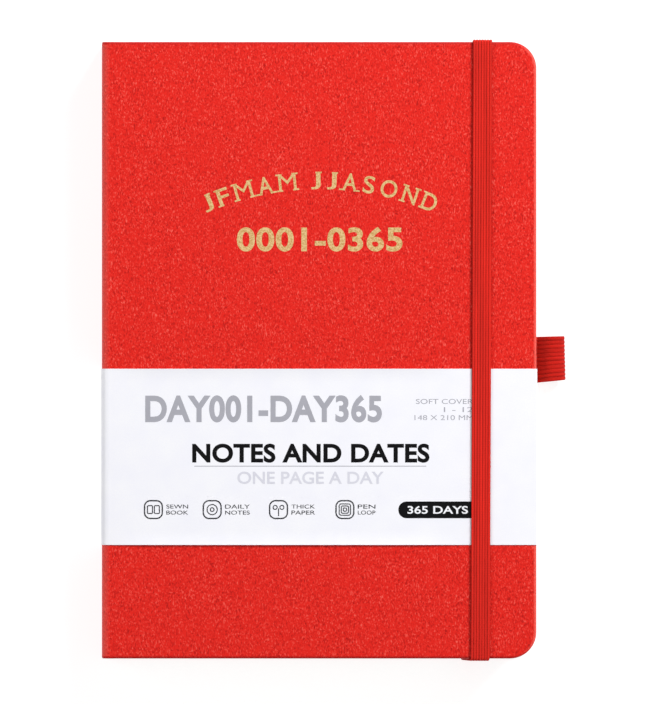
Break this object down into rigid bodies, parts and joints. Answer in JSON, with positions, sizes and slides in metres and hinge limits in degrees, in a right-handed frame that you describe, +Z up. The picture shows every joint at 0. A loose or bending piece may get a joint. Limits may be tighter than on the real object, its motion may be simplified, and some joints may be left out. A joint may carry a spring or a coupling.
{
  "type": "day planner",
  "caption": "Soft-cover day planner with rounded fore-edge corners, a sewn page block that opens flat, an elastic closing strap, a pen loop and a paper band round the cover.",
  "frame": {"origin": "Middle of the bounding box in X and Y, at its lowest point in Z, with the planner shut and lying on its back cover.", "axes": "+X from the spine to the fore edge, +Y from the foot to the head, +Z up from the back cover to the front cover."},
  "size_m": [0.158, 0.2116, 0.0264],
  "materials": {
    "skin": "satin",
    "card": "matte",
    "endpaper": "matte",
    "pages": "matte",
    "gauze": "matte",
    "bead": "satin",
    "thread": "matte",
    "strap_elastic": "matte",
    "loop_elastic": "matte",
    "band_paper": "matte"
  },
  "bodies": {
    "back_case": {"back_skin": "skin", "back_board": "card", "back_pastedown": "endpaper", "back_flyleaf": "endpaper", "signature_06": "pages", "signature_07": "pages", "signature_08": "pages", "signature_09": "pages", "signature_10": "pages", "strap_anchor_head": "strap_elastic", "strap_anchor_foot": "strap_elastic", "pen_loop_tab": "loop_elastic"},
    "spine": {"spine_skin": "skin", "spine_liner": "card", "mull": "gauze", "headband": "bead", "tailband": "bead", "sewing_thread": "thread"},
    "front_cover": {"front_skin": "skin", "front_board": "card", "front_pastedown": "endpaper"},
    "front_leaves": {"front_flyleaf": "endpaper", "signature_01": "pages", "signature_02": "pages", "signature_03": "pages", "signature_04": "pages", "signature_05": "pages"},
    "strap": {"strap_loop": "strap_elastic"},
    "pen_loop": {"pen_loop": "loop_elastic"},
    "band_front": {"band_front": "band_paper"},
    "band_spine": {"band_spine": "band_paper"},
    "band_back": {"band_back": "band_paper"}
  },
  "joints": [
    {"name": "spine_hinge", "type": "hinge", "parent": "back_case", "child": "spine", "pos_m": [-0.07821, 0, 0.00084], "axis": [0, -1, 0], "range_deg": [0, 90]},
    {"name": "cover_hinge", "type": "hinge", "parent": "spine", "child": "front_cover", "pos_m": [-0.07821, 0, 0.02466], "axis": [0, -1, 0], "range_deg": [0, 90]},
    {"name": "leaves_hinge", "type": "hinge", "parent": "spine", "child": "front_leaves", "pos_m": [-0.07821, 0, 0.02466], "axis": [0, -1, 0], "range_deg": [0, 90]},
    {"name": "strap_swing", "type": "hinge", "parent": "back_case", "child": "strap", "pos_m": [0.049, 0, 0.00065], "axis": [0.0185, 0.9998, 0], "range_deg": [0, 180], "deforming": ["strap_loop"]},
    {"name": "band_slide", "type": "slide", "parent": "spine", "child": "band_spine", "axis": [0, -1, 0], "range_m": [0, 0.11]},
    {"name": "band_front_fold", "type": "hinge", "parent": "band_spine", "child": "band_front", "pos_m": [-0.07821, 0, 0.02466], "axis": [0, -1, 0], "range_deg": [0, 90]},
    {"name": "band_back_fold", "type": "hinge", "parent": "band_spine", "child": "band_back", "pos_m": [-0.07821, 0, 0.00084], "axis": [0, -1, 0], "range_deg": [-90, 0]},
    {"name": "pen_loop_bend", "type": "hinge", "parent": "back_case", "child": "pen_loop", "pos_m": [0.07, -0.00325, 0.00135], "axis": [0, -1, 0], "range_deg": [0, 20], "stiffness_Nm_per_rad": 0.0001}
  ],
  "couplings": [
    {"joint": "cover_hinge", "follows": "spine_hinge", "ratio": 1},
    {"joint": "leaves_hinge", "follows": "spine_hinge", "ratio": 1},
    {"joint": "strap_swing", "follows": "spine_hinge", "ratio": 2},
    {"joint": "band_front_fold", "follows": "spine_hinge", "ratio": 1},
    {"joint": "band_back_fold", "follows": "spine_hinge", "ratio": -1}
  ]
}
